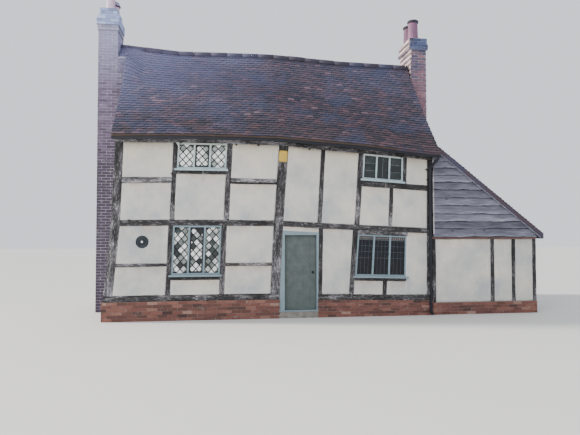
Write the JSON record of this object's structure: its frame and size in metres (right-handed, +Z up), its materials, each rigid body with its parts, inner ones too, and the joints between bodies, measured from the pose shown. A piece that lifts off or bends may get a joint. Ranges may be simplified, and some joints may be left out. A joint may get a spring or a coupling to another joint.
{
  "type": "half timbered house",
  "caption": "Two storey timber framed cottage with plaster panels, sagging tiled roof, outside brick chimney stacks, leaded windows, a hinged front door and a boarded lean-to.",
  "frame": {"origin": "middle of the main house at ground level, on the underside of the ground floor", "axes": "+X along the front to the right, towards the lean-to; +Y from the front to the back; +Z up"},
  "size_m": [11.342, 4.6516, 8.2758],
  "materials": {
    "oak_frame": "weathered, tarred black",
    "plaster": "limewashed plaster",
    "brick": "weathered red brick in lime mortar",
    "blue_brick": "blue grey brick",
    "stone": "worn stone flags",
    "roof_tile": "hand made clay tiles",
    "ridge_tile": "half round clay ridge tiles",
    "chimney_pot": "terracotta",
    "window_paint": "pale duck egg blue paint",
    "door_wood": "painted planks",
    "floor_board": "bare timber",
    "weatherboard": "weathered sawn boards",
    "glass": "old window glass",
    "iron": "painted black"
  },
  "bodies": {
    "house": {"plinth": "brick", "doorstep": "stone", "ground_floor": "stone", "upper_floor": "floor_board", "sill_beams": "oak_frame", "corner_posts": "oak_frame", "main_posts": "oak_frame", "lower_studs": "oak_frame", "upper_studs": "oak_frame", "girding_beams": "oak_frame", "wall_plates": "oak_frame", "rails": "oak_frame", "front_lower_panels": "plaster", "front_upper_panels": "plaster", "back_panels": "plaster", "left_gable_frame": "oak_frame", "left_gable_panels": "plaster", "right_gable_frame": "oak_frame", "right_gable_panels": "plaster", "front_windows": "window_paint", "front_glass": "glass", "back_windows": "window_paint", "back_glass": "glass", "door_frame": "window_paint", "door_pintles": "iron", "rafters": "floor_board", "front_roof": "roof_tile", "back_roof": "roof_tile", "ridge_tiles": "ridge_tile", "fascias": "floor_board", "gutters": "iron", "downpipe": "iron", "left_stack": "brick", "left_shoulder": "roof_tile", "left_cap": "brick", "left_pots": "chimney_pot", "right_stack": "brick", "right_cap": "blue_brick", "right_pots": "chimney_pot", "leanto_plinth": "brick", "leanto_floor": "stone", "leanto_frame": "oak_frame", "leanto_panels": "plaster", "leanto_boarding": "weatherboard", "leanto_roof": "roof_tile", "wall_tie": "iron"},
    "door": {"front_door": "door_wood", "door_ironwork": "iron"}
  },
  "joints": [
    {"name": "front_door_hinge", "type": "hinge", "parent": "house", "child": "door", "pos_m": [0.1604, -1.956, 0.186], "axis": [0, 0, 1], "range_deg": [0, 95]}
  ]
}
